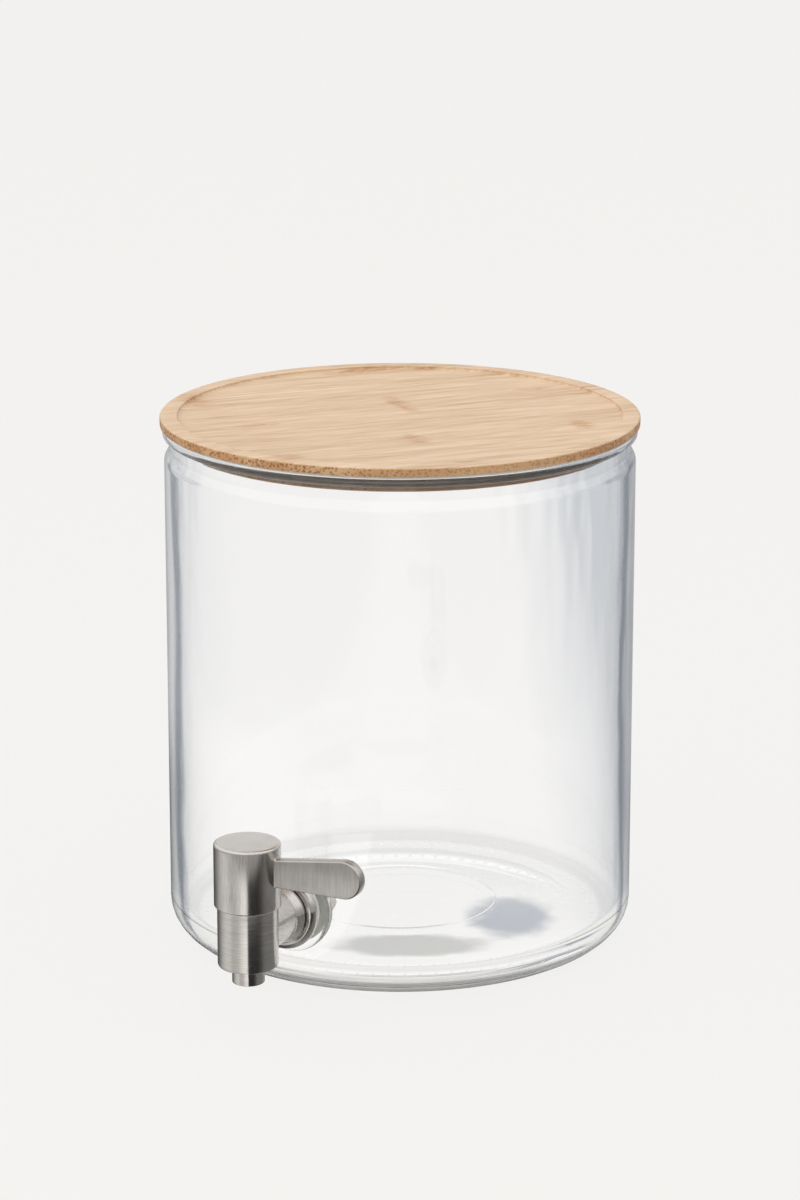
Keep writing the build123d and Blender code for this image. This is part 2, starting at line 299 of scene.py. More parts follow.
glass, add = paint("clear_glass")
place = add("TexCoord").outputs["Object"]
drawn = add("Mapping", Vector=place, Scale=(1, 1, 0.25)).outputs["Vector"]
waves = add("TexNoise", Vector=drawn, Scale=42, Detail=2).outputs["Fac"]
height = add("SeparateXYZ", Vector=place).outputs["Z"]
uneven = rescale(add, height, 0.10, shoulder_bottom, 0.3, 1.2)
swell = maths(add, "MULTIPLY", waves, uneven)
ripple = add("Bump", Height=swell, Strength=0.5, Distance=1.0 * mm).outputs["Normal"]

# Seen edge-on the glass darkens, partly for its longer path through the glass and partly as painted
# shade.
# A thin painted dark line lies near the outline of its outer wall, and the thick heel is painted
# with dark level bands, more for a ray that comes in than for one that goes out.
facing = add("LayerWeight", Blend=0.5).outputs["Facing"]
tint = ramp(
    add,
    facing,
    (0.50, (1, 1, 1)),
    (0.62, (0.97, 0.97, 0.97)),
    (0.72, (0.88, 0.89, 0.90)),
    (0.80, (0.72, 0.75, 0.78)),
    (0.90, (0.46, 0.50, 0.54)),
    (1.0, (0.36, 0.38, 0.40)),
)
swayed = maths(add, "MULTIPLY_ADD", waves, 0.28, facing)
# Painted shade: a thin dark line in the glass's colour near the outline of its outer wall.
painted_edge_shade = ramp(
    add,
    swayed,
    (0.82, (1, 1, 1)),
    (0.86, (0.20, 0.23, 0.27)),
    (0.89, (0.20, 0.23, 0.27)),
    (0.94, (1, 1, 1)),
)
# Painted shade: dark level bands in the colour of the thick heel.
painted_heel_shade = ramp(
    add,
    rescale(add, height, 0, 20.0 * mm),
    (0.0, (0.12, 0.12, 0.12)),
    (0.14, (0.13, 0.13, 0.13)),
    (0.23, (0.32, 0.32, 0.31)),
    (0.31, (0.13, 0.13, 0.13)),
    (0.41, (0.76, 0.76, 0.75)),
    (0.49, (1, 1, 1)),
)
level_place = vectors(add, "MULTIPLY", place, (1, 1, 0))
radius = vectors(add, "LENGTH", level_place)
on_outside = rescale(add, radius, 92.5 * mm, 94.0 * mm)
on_heel = rescale(add, radius, 82.5 * mm, 86.0 * mm)
from_inside = add("NewGeometry").outputs["Backfacing"]
entering = maths(add, "MULTIPLY_ADD", from_inside, -0.75, 1)
on_heel = maths(add, "MULTIPLY", on_heel, entering)
tint = blend(add, on_outside, tint, painted_edge_shade, "MULTIPLY")
tint = blend(add, on_heel, tint, painted_heel_shade, "MULTIPLY")
clear = add(
    "BsdfPrincipled",
    Base_Color=tint,
    Roughness=0.0,
    IOR=1.5,
    Transmission_Weight=1.0,
    Normal=ripple,
)

# A ray that stays trapped in the wall after a few reflections goes straight through instead.
path = add("LightPath")
most_bounces = 2.5
trapped = maths(add, "GREATER_THAN", path.outputs["Glossy Depth"], most_bounces)
leaves = maths(add, "MAXIMUM", trapped, path.outputs["Is Shadow Ray"])
dimmed = ramp(add, trapped, (0, (0.97, 0.98, 0.98)), (1, (0.93, 0.93, 0.92)))
through = add("BsdfTransparent", Color=dimmed)
both = add("MixShader", Fac=leaves, i1=clear.outputs[0], i2=through.outputs[0])
add("OutputMaterial", Surface=both.outputs[0])
dress(jar, glass, "root", "jar_glass", "glass_jar")


# ---------------------------------------------------------------- bamboo lid
# A board of glued bamboo strips with a shallow recess turned in its top, and a plug glued below.
# The fibres' cut ends show as dark specks on its edge; old joints of the stem show as patches.

board_low, board_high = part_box("lid_board")
board_radius = board_high.x
board_top = board_high.z
recess_radius = board_radius - 7.0 * mm
recess_floor = board_top - 1.3 * mm
board_outline = [
    (0, board_low.z),
    (board_radius, board_low.z),
    (board_radius, board_top),
    (recess_radius, board_top),
    (recess_radius, recess_floor),
    (0, recess_floor),
]
board_roundings = {1: 0.8 * mm, 2: 0.8 * mm, 3: 0.3 * mm, 4: 0.9 * mm}
board = turn("bamboo_board", rounded(board_outline, board_roundings), 256)
smooth(board, 40)
plug_low, plug_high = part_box("lid_plug")
plug_radius = plug_high.x
groove_bottom = board_low.z - 5.8 * mm
groove_radius = plug_radius - 1.0 * mm
plug_outline = [
    (0, plug_low.z),
    (plug_radius, plug_low.z),
    (plug_radius, groove_bottom),
    (groove_radius, groove_bottom),
    (groove_radius, board_low.z),
    (0, board_low.z),
]
plug = turn("bamboo_plug", rounded(plug_outline, {1: 1.0 * mm}), 192)
smooth(plug, 40)

grain_turn = math.radians(48.3)
grain_way = (math.cos(grain_turn), math.sin(grain_turn), 0)
stem_joints = [
    (8, 22, 4.5, 18),
    (-9, -37, 5, 11),
    (-5, -80, 6, 5),
    (-67, -51, 7, 9),
    (14, 88, 16, 4),
    (-69, 58, 7, 12),
    (62, -38, 5, 9),
    (70, 30, 8, 3),
    (-58, 8, 10, 3),
]
stray = 7.0 * mm


# The shade number darkens the whole wood as painted shade.
def bamboo(name, shade, side_radius):
    """Bamboo with its strips along the board; shade darkens it, its cut side is past side_radius.

    Each stem joint is a patch with its place, along and across the strips, and its half sizes.
    """
    material, add = paint(name)
    place = add("TexCoord").outputs["Object"]
    along = add("Mapping", Vector=place, Rotation=(0, 0, -grain_turn)).outputs["Vector"]
    bent = add("TexNoise", Vector=along, Scale=9, Detail=1).outputs["Color"]
    along = vectors(add, "MULTIPLY_ADD", bent, (0, 0.006, 0), along)
    fine = add("Mapping", Vector=along, Scale=(55, 950, 950)).outputs["Vector"]
    fibre = add("TexNoise", Vector=fine, Scale=1, Detail=4, Roughness=0.6).outputs["Fac"]
    middle = add("Mapping", Vector=along, Scale=(24, 330, 330)).outputs["Vector"]
    streak = add("TexNoise", Vector=middle, Scale=1, Detail=4, Roughness=0.6).outputs["Fac"]
    coarse = add("Mapping", Vector=along, Scale=(9, 80, 80)).outputs["Vector"]
    band = add("TexNoise", Vector=coarse, Scale=1, Detail=2).outputs["Fac"]
    both = maths(add, "MULTIPLY_ADD", streak, 0.85, fibre)
    mixed = maths(add, "MULTIPLY_ADD", band, 0.4, both)
    spread = rescale(add, mixed, 0.73, 1.56)
    lights = (
        (0.0, (0.38, 0.22, 0.105)),
        (0.3, (0.54, 0.365, 0.22)),
        (0.6, (0.65, 0.475, 0.32)),
        (1, (0.78, 0.61, 0.455)),
    )
    colour = ramp(add, spread, *[(stop, [c * shade for c in level]) for stop, level in lights])

    flecks = add("Mapping", Vector=along, Scale=(200, 620, 620)).outputs["Vector"]
    fleck = add("TexNoise", Vector=flecks, Scale=1, Detail=3).outputs["Fac"]
    wander = add("TexNoise", Vector=place, Scale=110, Detail=2).outputs["Color"]
    strayed = vectors(add, "MULTIPLY_ADD", wander, (stray, stray, 0), along)
    patches = None
    for x, y, half_x, half_y in stem_joints:
        corner = (x * mm + stray / 2, y * mm + stray / 2, 0)
        shifted = vectors(add, "SUBTRACT", strayed, corner)
        sized = vectors(add, "MULTIPLY", shifted, (1 / (half_x * mm), 1 / (half_y * mm), 0))
        far = vectors(add, "LENGTH", sized)
        near = rescale(add, far, 1.3, 0.3, curve="SMOOTHSTEP")
        patches = near if patches is None else maths(add, "MAXIMUM", patches, near)
    strong = rescale(add, fleck, 0.4, 0.58, 0.2, 0.9)
    mark = maths(add, "MULTIPLY", patches, strong)
    joint_brown = (0.44 * shade, 0.235 * shade, 0.105 * shade, 1)
    marked = blend(add, mark, colour, joint_brown)

    normal = add("NewGeometry").outputs["Normal"]
    upward = add("SeparateXYZ", Vector=normal).outputs["Z"]
    flat = maths(add, "ABSOLUTE", upward)
    steep = rescale(add, flat, 0.85, 0.4)
    level_place = vectors(add, "MULTIPLY", place, (1, 1, 0))
    radius = vectors(add, "LENGTH", level_place)
    outer = maths(add, "GREATER_THAN", radius, side_radius)
    edge = maths(add, "MULTIPLY", steep, outer)
    end = vectors(add, "DOT_PRODUCT", normal, grain_way)
    open_end = maths(add, "ABSOLUTE", end)
    cells = add("TexVoronoi", Vector=place, Scale=820).outputs["Distance"]
    pore = rescale(add, cells, 0.55, 0.2)
    deep = rescale(add, open_end, 0.0, 0.7, 0.45, 1.0)
    pit = maths(add, "MULTIPLY", pore, deep)
    cut_dark = (0.43 * shade, 0.225 * shade, 0.095 * shade)
    cut_light = (0.52 * shade, 0.32 * shade, 0.165 * shade)
    cut = ramp(add, band, (0.35, cut_dark), (0.65, cut_light))
    pored = blend(add, pit, cut, (0.22 * shade, 0.09 * shade, 0.03 * shade, 1))
    shown = blend(add, edge, marked, pored)

    dull = maths(add, "MULTIPLY_ADD", fibre, 0.25, 0.38)
    relief = add("Bump", Height=fibre, Strength=0.2, Distance=0.15 * mm).outputs["Normal"]
    wood = add("BsdfPrincipled", Base_Color=shown, Roughness=dull, Normal=relief, IOR=1.45)
    add("OutputMaterial", Surface=wood.outputs[0])
    return material


board_wood = bamboo("bamboo_top", 1.0, board_radius - 1.5 * mm)
# The plug's bamboo is the same wood darkened to 0.8, a painted shade under the board.
shaded_plug_wood = bamboo("bamboo_below", 0.8, plug_radius - 1.5 * mm)
dress(board, board_wood, "lid", "bamboo", "lid_board")
dress(plug, shaded_plug_wood, "lid", "bamboo", "lid_plug")


# ---------------------------------------------------------------- lid seal
# One ring of clear silicone, moulded: a sleeve with three fins that sits in the plug's groove,
# and a thin flange that lies between the board and the glass rim.

sleeve_radius = groove_radius + 1.6 * mm
fin_radius = mouth_radius - 0.3 * mm
flange_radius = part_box("lid_seal")[1].x
flange_bottom = jar_top + 0.03 * mm
seal_outline = [(groove_radius, groove_bottom), (sleeve_radius, groove_bottom)]
fin_count = 3
fin_pitch = 5.0 * mm / fin_count
fin_thickness = 0.6 * mm
for i in range(fin_count):
    fin_low = groove_bottom + i * fin_pitch + fin_thickness
    seal_outline += [
        (sleeve_radius, fin_low),
        (fin_radius, fin_low),
        (fin_radius, fin_low + fin_thickness),
        (sleeve_radius, fin_low + fin_thickness),
    ]
seal_outline += [
    (sleeve_radius, flange_bottom),
    (flange_radius, flange_bottom),
    (flange_radius, board_low.z),
    (groove_radius, board_low.z),
    (groove_radius, groove_bottom),
]
seal = turn("silicone_seal", [Vector(p) for p in seal_outline], 192)
smooth(seal, 30)

silicone, add = paint("clear_silicone")
place = add("TexCoord").outputs["Object"]
cloud = add("TexNoise", Vector=place, Scale=160, Detail=3).outputs["Fac"]
height = add("SeparateXYZ", Vector=place).outputs["Z"]
on_rim = rescale(add, height, jar_top - 0.5 * mm, jar_top + 0.1 * mm)
# Below the rim the sleeve is painted dark brown: the shaded bamboo seen through the clear silicone,
# painted in.
shaded_wood_seen_through = ramp(add, cloud, (0.3, (0.30, 0.235, 0.175)), (0.7, (0.40, 0.325, 0.25)))
over_glass = ramp(add, cloud, (0.3, (0.60, 0.66, 0.68)), (0.7, (0.76, 0.80, 0.81)))
colour = blend(add, on_rim, shaded_wood_seen_through, over_glass)
dull = maths(add, "MULTIPLY_ADD", cloud, 0.2, 0.25)
rubber = add(
    "BsdfPrincipled", Base_Color=colour, Roughness=dull, Transmission_Weight=0.15, IOR=1.41
)
add("OutputMaterial", Surface=rubber.outputs[0])
dress(seal, silicone, "lid", "seal_silicone", "lid_seal")


# ---------------------------------------------------------------- tap body, outlet and flange
# Body, outlet and flange washer are turned from stainless bar, which leaves fine rings round them.
# The body is drilled at the back for the inlet and on top for the stop pin, and bored for the
# core; the outlet is pressed in from below.

body_low, body_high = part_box("tap_body")
body_radius = body_high.x
bore_radius = 4.5 * mm
socket_radius = 6.3 * mm
socket_top = body_low.z + 3.0 * mm
core_bore_radius = 7.0 * mm
core_floor = socket_top + 1.5 * mm
gland_radius = 9.0 * mm
gland_floor = body_high.z - 4.4 * mm
body_outline = [
    (bore_radius, socket_top),
    (socket_radius, socket_top),
    (socket_radius, body_low.z),
    (body_radius, body_low.z),
    (body_radius, body_high.z),
    (gland_radius, body_high.z),
    (gland_radius, gland_floor),
    (core_bore_radius, gland_floor),
    (core_bore_radius, core_floor),
    (bore_radius, core_floor),
]
body_outline = rounded(body_outline, {3: 1.5 * mm, 4: 0.3 * mm})
body = turn("valve_body", [*body_outline, body_outline[0]], 128, tap_axis)
inlet_foot = tap_axis + Vector((0, 0, shank_height))
inlet_radius = 5.5 * mm
inlet_start, inlet_end = 5.0 * mm, 13.0 * mm
inlet_outline = [
    (0, inlet_start),
    (inlet_radius, inlet_start),
    (inlet_radius, inlet_end),
    (0, inlet_end),
]
combine(body, turn("inlet", inlet_outline, 48, inlet_foot, -outwards), "DIFFERENCE")
pin_low, pin_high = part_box("stop_pin")
pin_axis = Vector(((pin_low.x + pin_high.x) / 2, (pin_low.y + pin_high.y) / 2, 0))
pin_radius = 0.9 * mm
pin_outline = [(0, pin_low.z), (pin_radius, pin_low.z), (pin_radius, pin_high.z), (0, pin_high.z)]
combine(body, turn("pin_hole", pin_outline, 24, pin_axis), "DIFFERENCE")

nozzle_low, nozzle_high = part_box("outlet_nozzle")
nozzle_outline = [
    (bore_radius, nozzle_low.z),
    (nozzle_high.x, nozzle_low.z),
    (nozzle_high.x, nozzle_high.z),
    (bore_radius, nozzle_high.z),
]
nozzle_outline = rounded(nozzle_outline, {0: 0.5 * mm, 1: 0.5 * mm}, 5)
nozzle = turn("outlet_tube", [*nozzle_outline, nozzle_outline[0]], 96, tap_axis)

flange_low, flange_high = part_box("shank_flange")
gasket_face = -flange_high.y - jar_radius
flange_face = -flange_low.y - jar_radius
slip_hole_radius = 8.3 * mm
flange_outline = [
    (slip_hole_radius, gasket_face),
    (flange_high.x, gasket_face),
    (flange_high.x, flange_face),
    (slip_hole_radius, flange_face),
]
flange_outline = rounded(flange_outline, {1: 1.6 * mm, 2: 2.6 * mm}, 10)
flange = turn("shank_washer", [*flange_outline, flange_outline[0]], 128, shank_foot, outwards)
for piece in (body, nozzle, flange):
    smooth(piece, 35)


def brushed(name, centre, axis, stroke=None, dull=0.12, bend=0.8, shade=1.0):
    """Brushed stainless steel, with scratches round the axis or along stroke if that is given.

    The dull and bend numbers set how blurred its reflections are and how much more so across the
    scratches; shade darkens it with painted shade.
    """
    material, add = paint(name)
    place = add("TexCoord").outputs["Object"]
    from_axis = vectors(add, "SUBTRACT", place, centre)
    height = vectors(add, "DOT_PRODUCT", from_axis, axis)
    up = add("VectorMath", {"operation": "SCALE"}, i0=axis, Scale=height).outputs[0]
    radial = vectors(add, "SUBTRACT", from_axis, up)
    if stroke is None:
        radius = vectors(add, "LENGTH", radial)
        spot = maths(add, "ADD", height, radius)
        scratch = vectors(add, "CROSS_PRODUCT", axis, radial)
        round_it = vectors(add, "NORMALIZE", radial)
        wide = add("VectorMath", {"operation": "SCALE"}, i0=round_it, Scale=1.6).outputs[0]
        fast = add("VectorMath", {"operation": "SCALE"}, i0=axis, Scale=spot).outputs[0]
        grain_place = vectors(add, "MULTIPLY_ADD", fast, (2600, 2600, 2600), wide)
    else:
        scratch = add("CombineXYZ", X=stroke[0], Y=stroke[1], Z=stroke[2]).outputs[0]
        scale = [110 if c else 1700 for c in stroke]
        grain_place = add("Mapping", Vector=place, Scale=scale).outputs["Vector"]
    grain = add("TexNoise", Vector=grain_place, Scale=1, Detail=4, Roughness=0.7).outputs["Fac"]
    cloud = add("TexNoise", Vector=place, Scale=140, Detail=2).outputs["Fac"]
    mixed = maths(add, "MULTIPLY_ADD", cloud, 0.35, grain)
    dark = [level * shade for level in (0.50, 0.47, 0.435)]
    light = [level * shade for level in (0.68, 0.65, 0.615)]
    colour = ramp(add, mixed, (0.45, dark), (0.9, light))
    rough = maths(add, "MULTIPLY_ADD", grain, 0.1, dull)
    relief = add("Bump", Height=grain, Strength=0.3, Distance=0.04 * mm).outputs["Normal"]
    normal = add("NewGeometry").outputs["Normal"]
    across = vectors(add, "CROSS_PRODUCT", scratch, normal)
    steel = add(
        "BsdfPrincipled",
        Base_Color=colour,
        Metallic=1.0,
        Roughness=rough,
        Anisotropic=bend,
        Normal=relief,
        Tangent=across,
    )
    add("OutputMaterial", Surface=steel.outputs[0])
    return material


upright = (0, 0, 1)
turned_steel = brushed("brushed_steel_upright", tap_axis, upright)
shank_steel = brushed("brushed_steel_shank", shank_foot, tuple(outwards))
dress(body, turned_steel, "root", "tap_steel", "tap_body")
dress(nozzle, turned_steel, "root", "tap_steel", "outlet_nozzle")
dress(flange, shank_steel, "root", "tap_steel", "shank_flange")


# ---------------------------------------------------------------- shank
# A bored neck with a collar in front of the flange and a threaded tail that goes through the glass.
# It is turned from bar; its outer end is cut to the body's round side and brazed there.

shank_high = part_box("tap_shank")[1]
tail_back = -shank_high.y - jar_radius
seat_radius = 10.8 * mm
collar_back = flange_face + 0.5 * mm
collar_front = collar_back + 1.0 * mm
collar_radius = 12.1 * mm
flare_end = collar_front + 3.4 * mm
neck_radius = 10.7 * mm
neck_end = -tap_axis_y - jar_radius
crest_radius = 8.0 * mm
root_radius = crest_radius - 0.8 * mm
teeth = round((flange_face - tail_back) / (1.5 * mm))
pitch = (flange_face - tail_back) / teeth
shank_outline = [(bore_radius, tail_back)]
for i in range(teeth):
    shank_outline += [
        (root_radius, tail_back + i * pitch),
        (crest_radius, tail_back + (i + 0.4) * pitch),
        (crest_radius, tail_back + (i + 0.6) * pitch),
    ]
shank_outline += [
    (root_radius, flange_face),
    (seat_radius, flange_face),
    (seat_radius, collar_back),
    (collar_radius, collar_back),
    (collar_radius, collar_front),
    (neck_radius, flare_end),
    (neck_radius, neck_end),
    (bore_radius, neck_end),
]
count = len(shank_outline)
shank_outline = rounded(shank_outline, {count - 4: 1.0 * mm, count - 3: 3.4 * mm})
shank = turn("shank", [*shank_outline, shank_outline[0]], 96, shank_foot, outwards)
cope_top = 60 * mm
cope_outline = [(0, 0), (body_radius, 0), (body_radius, cope_top), (0, cope_top)]
combine(shank, turn("cope", cope_outline, 128, tap_axis), "DIFFERENCE")
smooth(shank, 35)
dress(shank, shank_steel, "root", "tap_steel", "tap_shank")


# ---------------------------------------------------------------- cap
# A turned stainless cap, brushed lengthwise, that covers the stem and turns on the body's top.
# It is bored from below for the stem, slotted a quarter turn round for the stop pin and drilled
# on the side away from the lever for the set screw.

cap_low, cap_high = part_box("handle_cap")
cap_radius = cap_high.x
stem_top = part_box("valve_core")[1].z
stem_hole_radius = 5.05 * mm
stem_hole_top = stem_top + 0.3 * mm
cap_outline = [
    (0, stem_hole_top),
    (stem_hole_radius, stem_hole_top),
    (stem_hole_radius, cap_low.z),
    (cap_radius, cap_low.z),
    (cap_radius, cap_high.z),
    (0, cap_high.z),
]
cap = turn("turning_cap", rounded(cap_outline, {3: 0.5 * mm, 4: 1.2 * mm}), 128, tap_axis)
slot_width = 2.4 * mm
slot_depth = pin_high.z - cap_low.z + 0.3 * mm
pin_from_axis = pin_axis - tap_axis
slot_radius = pin_from_axis.length
bpy.ops.object.select_all(action="DESELECT")
bpy.ops.mesh.primitive_plane_add(size=slot_width, location=(0, 0, 0))
slot = bpy.context.object
bpy.ops.object.mode_set(mode="EDIT")
bpy.ops.mesh.select_all(action="SELECT")
bpy.ops.transform.rotate(value=math.pi / 2, orient_axis="X", center_override=(0, 0, 0))
bpy.ops.transform.resize(value=(1, 1, 2 * slot_depth / slot_width), center_override=(0, 0, 0))
bpy.ops.transform.translate(value=(slot_radius, 0, cap_low.z))
bpy.ops.transform.translate(value=tap_axis)
bpy.ops.mesh.spin(steps=24, angle=math.pi / 2, center=tap_axis, axis=(0, 0, 1))
bpy.ops.mesh.select_all(action="SELECT")
bpy.ops.transform.rotate(value=-3 * math.pi / 4, orient_axis="Z", center_override=tap_axis)
bpy.ops.mesh.normals_make_consistent(inside=False)
bpy.ops.object.mode_set(mode="OBJECT")
combine(cap, slot, "DIFFERENCE")
end_outline = [
    (0, cap_low.z - slot_depth),
    (slot_width / 2, cap_low.z - slot_depth),
    (slot_width / 2, cap_low.z + slot_depth),
    (0, cap_low.z + slot_depth),
]
for way in (1, -1):
    end_axis = tap_axis + Vector((pin_from_axis.x * way, pin_from_axis.y, 0))
    combine(cap, turn("slot_end", end_outline, 32, end_axis), "DIFFERENCE")
screw_low, screw_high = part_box("handle_set_screw")
screw_foot = tap_axis + Vector((0, 0, (screw_low.z + screw_high.z) / 2))
screw_hole_radius = 2.05 * mm
screw_hole_start, screw_hole_end = 3.0 * mm, 15.0 * mm
screw_outline = [
    (0, screw_hole_start),
    (screw_hole_radius, screw_hole_start),
    (screw_hole_radius, screw_hole_end),
    (0, screw_hole_end),
]
screw_hole = turn("screw_hole", screw_outline, 48, screw_foot, -sideways, upwards)
combine(cap, screw_hole, "DIFFERENCE")
smooth(cap, 35)
cap_steel = brushed("brushed_steel_cap", tap_axis, upright, (0, 0, 1), 0.12, 0.4)
dress(cap, cap_steel, "tap_handle", "tap_steel", "handle_cap")


# ---------------------------------------------------------------- lever
# A flat paddle cut from bar, deeper at its round tip, with eased edges and faces brushed upright.
# Its root is cut to the cap's round side and welded there, with a small fillet of weld above it
# and below.

lever_low, lever_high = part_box("handle_lever")
tip_radius = 7.5 * mm
tip_x = lever_high.x - tip_radius
tip_z = lever_low.z + tip_radius
root_x = 6.5 * mm
root_top = lever_low.z + 10.9 * mm
rise_angle = math.atan2(tip_z - root_top, tip_x - cap_radius)
reach = math.hypot(tip_x - cap_radius, tip_z - root_top)
top_slope = rise_angle + math.asin(tip_radius / reach)
weld = 0.9 * mm
weld_steps = 3
tip_steps = 32


def top_line(x):
    """Height of the lever's top edge at this distance from the tap's axis."""
    return root_top + (x - cap_radius) * math.tan(top_slope)


lever_outline = [(root_x, lever_low.z - weld), (cap_radius, lever_low.z - weld)]
for k in range(1, weld_steps + 1):
    turned_by = k / weld_steps * math.pi / 2
    x = cap_radius + weld * (1 - math.cos(turned_by))
    lever_outline.append((x, lever_low.z - weld * (1 - math.sin(turned_by))))
for k in range(tip_steps + 1):
    angle = -math.pi / 2 + k / tip_steps * (math.pi + top_slope)
    x = tip_x + tip_radius * math.cos(angle)
    lever_outline.append((x, tip_z + tip_radius * math.sin(angle)))
for k in range(weld_steps, -1, -1):
    turned_by = k / weld_steps * math.pi / 2
    x = cap_radius + weld * (1 - math.cos(turned_by))
    lever_outline.append((x, top_line(x) + weld * (1 - math.sin(turned_by))))
lever_outline.append((root_x, root_top + weld))

half_thick = (lever_high.y - lever_low.y) / 2
lever_places = [Vector((x, tap_axis_y - half_thick, z)) for x, z in lever_outline]
bpy.ops.object.select_all(action="DESELECT")
bpy.ops.mesh.primitive_plane_add(size=mm, location=(0, 0, 0))
lever = bpy.context.object
lever.name = "paddle"
lever.data.name = "paddle"
bpy.ops.object.mode_set(mode="EDIT")
bpy.ops.mesh.select_all(action="SELECT")
bpy.ops.mesh.merge(type="CENTER")
bpy.ops.transform.translate(value=lever_places[0])
for start, end in zip(lever_places, lever_places[1:]):
    bpy.ops.mesh.extrude_vertices_move(TRANSFORM_OT_translate={"value": end - start})
bpy.ops.mesh.select_all(action="SELECT")
bpy.ops.mesh.edge_face_add()
bpy.ops.mesh.extrude_region_move(TRANSFORM_OT_translate={"value": (0, 2 * half_thick, 0)})
bpy.ops.mesh.select_all(action="SELECT")
bpy.ops.mesh.normals_make_consistent(inside=False)
bpy.ops.mesh.select_mode(type="EDGE")
bpy.ops.mesh.select_all(action="DESELECT")
bpy.ops.object.mode_set(mode="OBJECT")
hair = 0.01 * mm
corners = lever.data.vertices
for edge in lever.data.edges:
    first_end, second_end = (corners[i].co for i in edge.vertices)
    on_a_face = abs(first_end.y - second_end.y) < hair
    at_the_root = max(first_end.x, second_end.x) < root_x + hair
    edge.select = on_a_face and not at_the_root
bpy.ops.object.mode_set(mode="EDIT")
bpy.ops.mesh.bevel(offset=0.7 * mm, segments=4, affect="EDGES")
bpy.ops.mesh.select_mode(type="VERT")
bpy.ops.object.mode_set(mode="OBJECT")
cope_top = cap_high.z + 10 * mm
cope_outline = [(0, 0), (cap_radius, 0), (cap_radius, cope_top), (0, cope_top)]
combine(lever, turn("cap_cope", cope_outline, 128, tap_axis), "DIFFERENCE")
smooth(lever, 35)
# The lever's steel is darkened to 0.84, a painted shade on the same steel as the cap.
shaded_lever_steel = brushed("brushed_steel_lever", tap_axis, upright, (0, 0, 1), 0.26, 0.5, 0.84)
dress(lever, shaded_lever_steel, "tap_handle", "tap_steel", "handle_lever")


# ---------------------------------------------------------------- gaskets and backing washer
# Clear grey-green silicone rings seal the shank to the glass outside and inside; the inner one is
# thick and moulded to the jar's round. A plain steel washer spreads the nut's load on it.

outer_low, outer_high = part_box("outer_gasket")
washer_low, washer_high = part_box("backing_washer")
inner_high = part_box("inner_gasket")[1]


def plain_ring(name, inner, outer, near, far, edge):
    """A flat ring about the shank's axis with its outer edges eased."""
    outline = [(inner, near), (outer, near), (outer, far), (inner, far)]
    outline = rounded(outline, {1: edge, 2: edge}, 4)
    return turn(name, [*outline, outline[0]], 128, shank_foot, outwards)


off_glass = 0.05 * mm
hole = slip_hole_radius
outer_faces = (-outer_high.y - jar_radius + off_glass, -outer_low.y - jar_radius)
washer_faces = (-washer_high.y - jar_radius, -washer_low.y - jar_radius)
inner_faces = (-inner_high.y - jar_radius, 0)
outer_ring = plain_ring("outer_seal_ring", hole, outer_high.x, *outer_faces, 0.3 * mm)
washer_ring = plain_ring("load_washer", hole, washer_high.x, *washer_faces, 0.2 * mm)
inner_ring = plain_ring("inner_seal_ring", hole, inner_high.x, *inner_faces, 0.3 * mm)
clear_radius = inner_radius - off_glass
round_top = 80 * mm
round_outline = [(0, 0), (clear_radius, 0), (clear_radius, round_top), (0, round_top)]
combine(inner_ring, turn("jar_round", round_outline, 256), "INTERSECT")
for piece in (outer_ring, washer_ring, inner_ring):
    smooth(piece, 35)

gasket_rubber, add = paint("gasket_silicone")
place = add("TexCoord").outputs["Object"]
cloud = add("TexNoise", Vector=place, Scale=200, Detail=3).outputs["Fac"]
colour = ramp(add, cloud, (0.3, (0.66, 0.66, 0.60)), (0.7, (0.80, 0.80, 0.74)))
dull = maths(add, "MULTIPLY_ADD", cloud, 0.2, 0.3)
rubber = add("BsdfPrincipled", Base_Color=colour, Roughness=dull, Transmission_Weight=0.1, IOR=1.41)
add("OutputMaterial", Surface=rubber.outputs[0])
dress(outer_ring, gasket_rubber, "root", "gasket_silicone", "outer_gasket")
dress(inner_ring, gasket_rubber, "root", "gasket_silicone", "inner_gasket")
dress(washer_ring, shank_steel, "root", "thread_steel", "backing_washer")


# ---------------------------------------------------------------- hidden and small parts
# Nut, core, O-rings, gland nut, pin and set screw keep the shapes that they have in the frame.
# The metal is turned stainless; port seal and slip washer are a white low-friction plastic.

plastic, add = paint("valve_plastic")
place = add("TexCoord").outputs["Object"]
cloud = add("TexNoise", Vector=place, Scale=300, Detail=3).outputs["Fac"]
colour = ramp(add, cloud, (0.3, (0.78, 0.78, 0.74)), (0.7, (0.88, 0.88, 0.85)))
dull = maths(add, "MULTIPLY_ADD", cloud, 0.2, 0.35)
white = add("BsdfPrincipled", Base_Color=colour, Roughness=dull)
add("OutputMaterial", Surface=white.outputs[0])

finishes = {
    "core_o_ring_upper": gasket_rubber,
    "core_o_ring_lower": gasket_rubber,
    "lock_nut": shank_steel,
    "valve_core": turned_steel,
    "gland_nut": turned_steel,
    "stop_pin": turned_steel,
    "handle_set_screw": turned_steel,
    "port_seal": plastic,
    "slip_washer": plastic,
}
for name, material in finishes.items():
    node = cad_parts[name]
    node.data.materials.clear()
    node.data.materials.append(material)


# ---------------------------------------------------------------- floor, light and camera
# A pale table, soft light from above and from the left, and a long lens that looks a little down.

camera_turn = math.radians(27.27)
camera_distance = 1.5582
camera_height = 0.5659
camera_pitch = 15.38
camera_lens = 119.76
towards_camera = Vector((math.sin(camera_turn), -math.cos(camera_turn), 0))
rightwards = Vector((math.cos(camera_turn), math.sin(camera_turn), 0))

bpy.ops.object.select_all(action="DESELECT")
bpy.ops.mesh.primitive_plane_add(size=40, location=(0, 0, -0.0002))
floor = bpy.context.object
floor.name = "floor"
bpy.ops.object.transform_apply(location=True, rotation=True, scale=True)


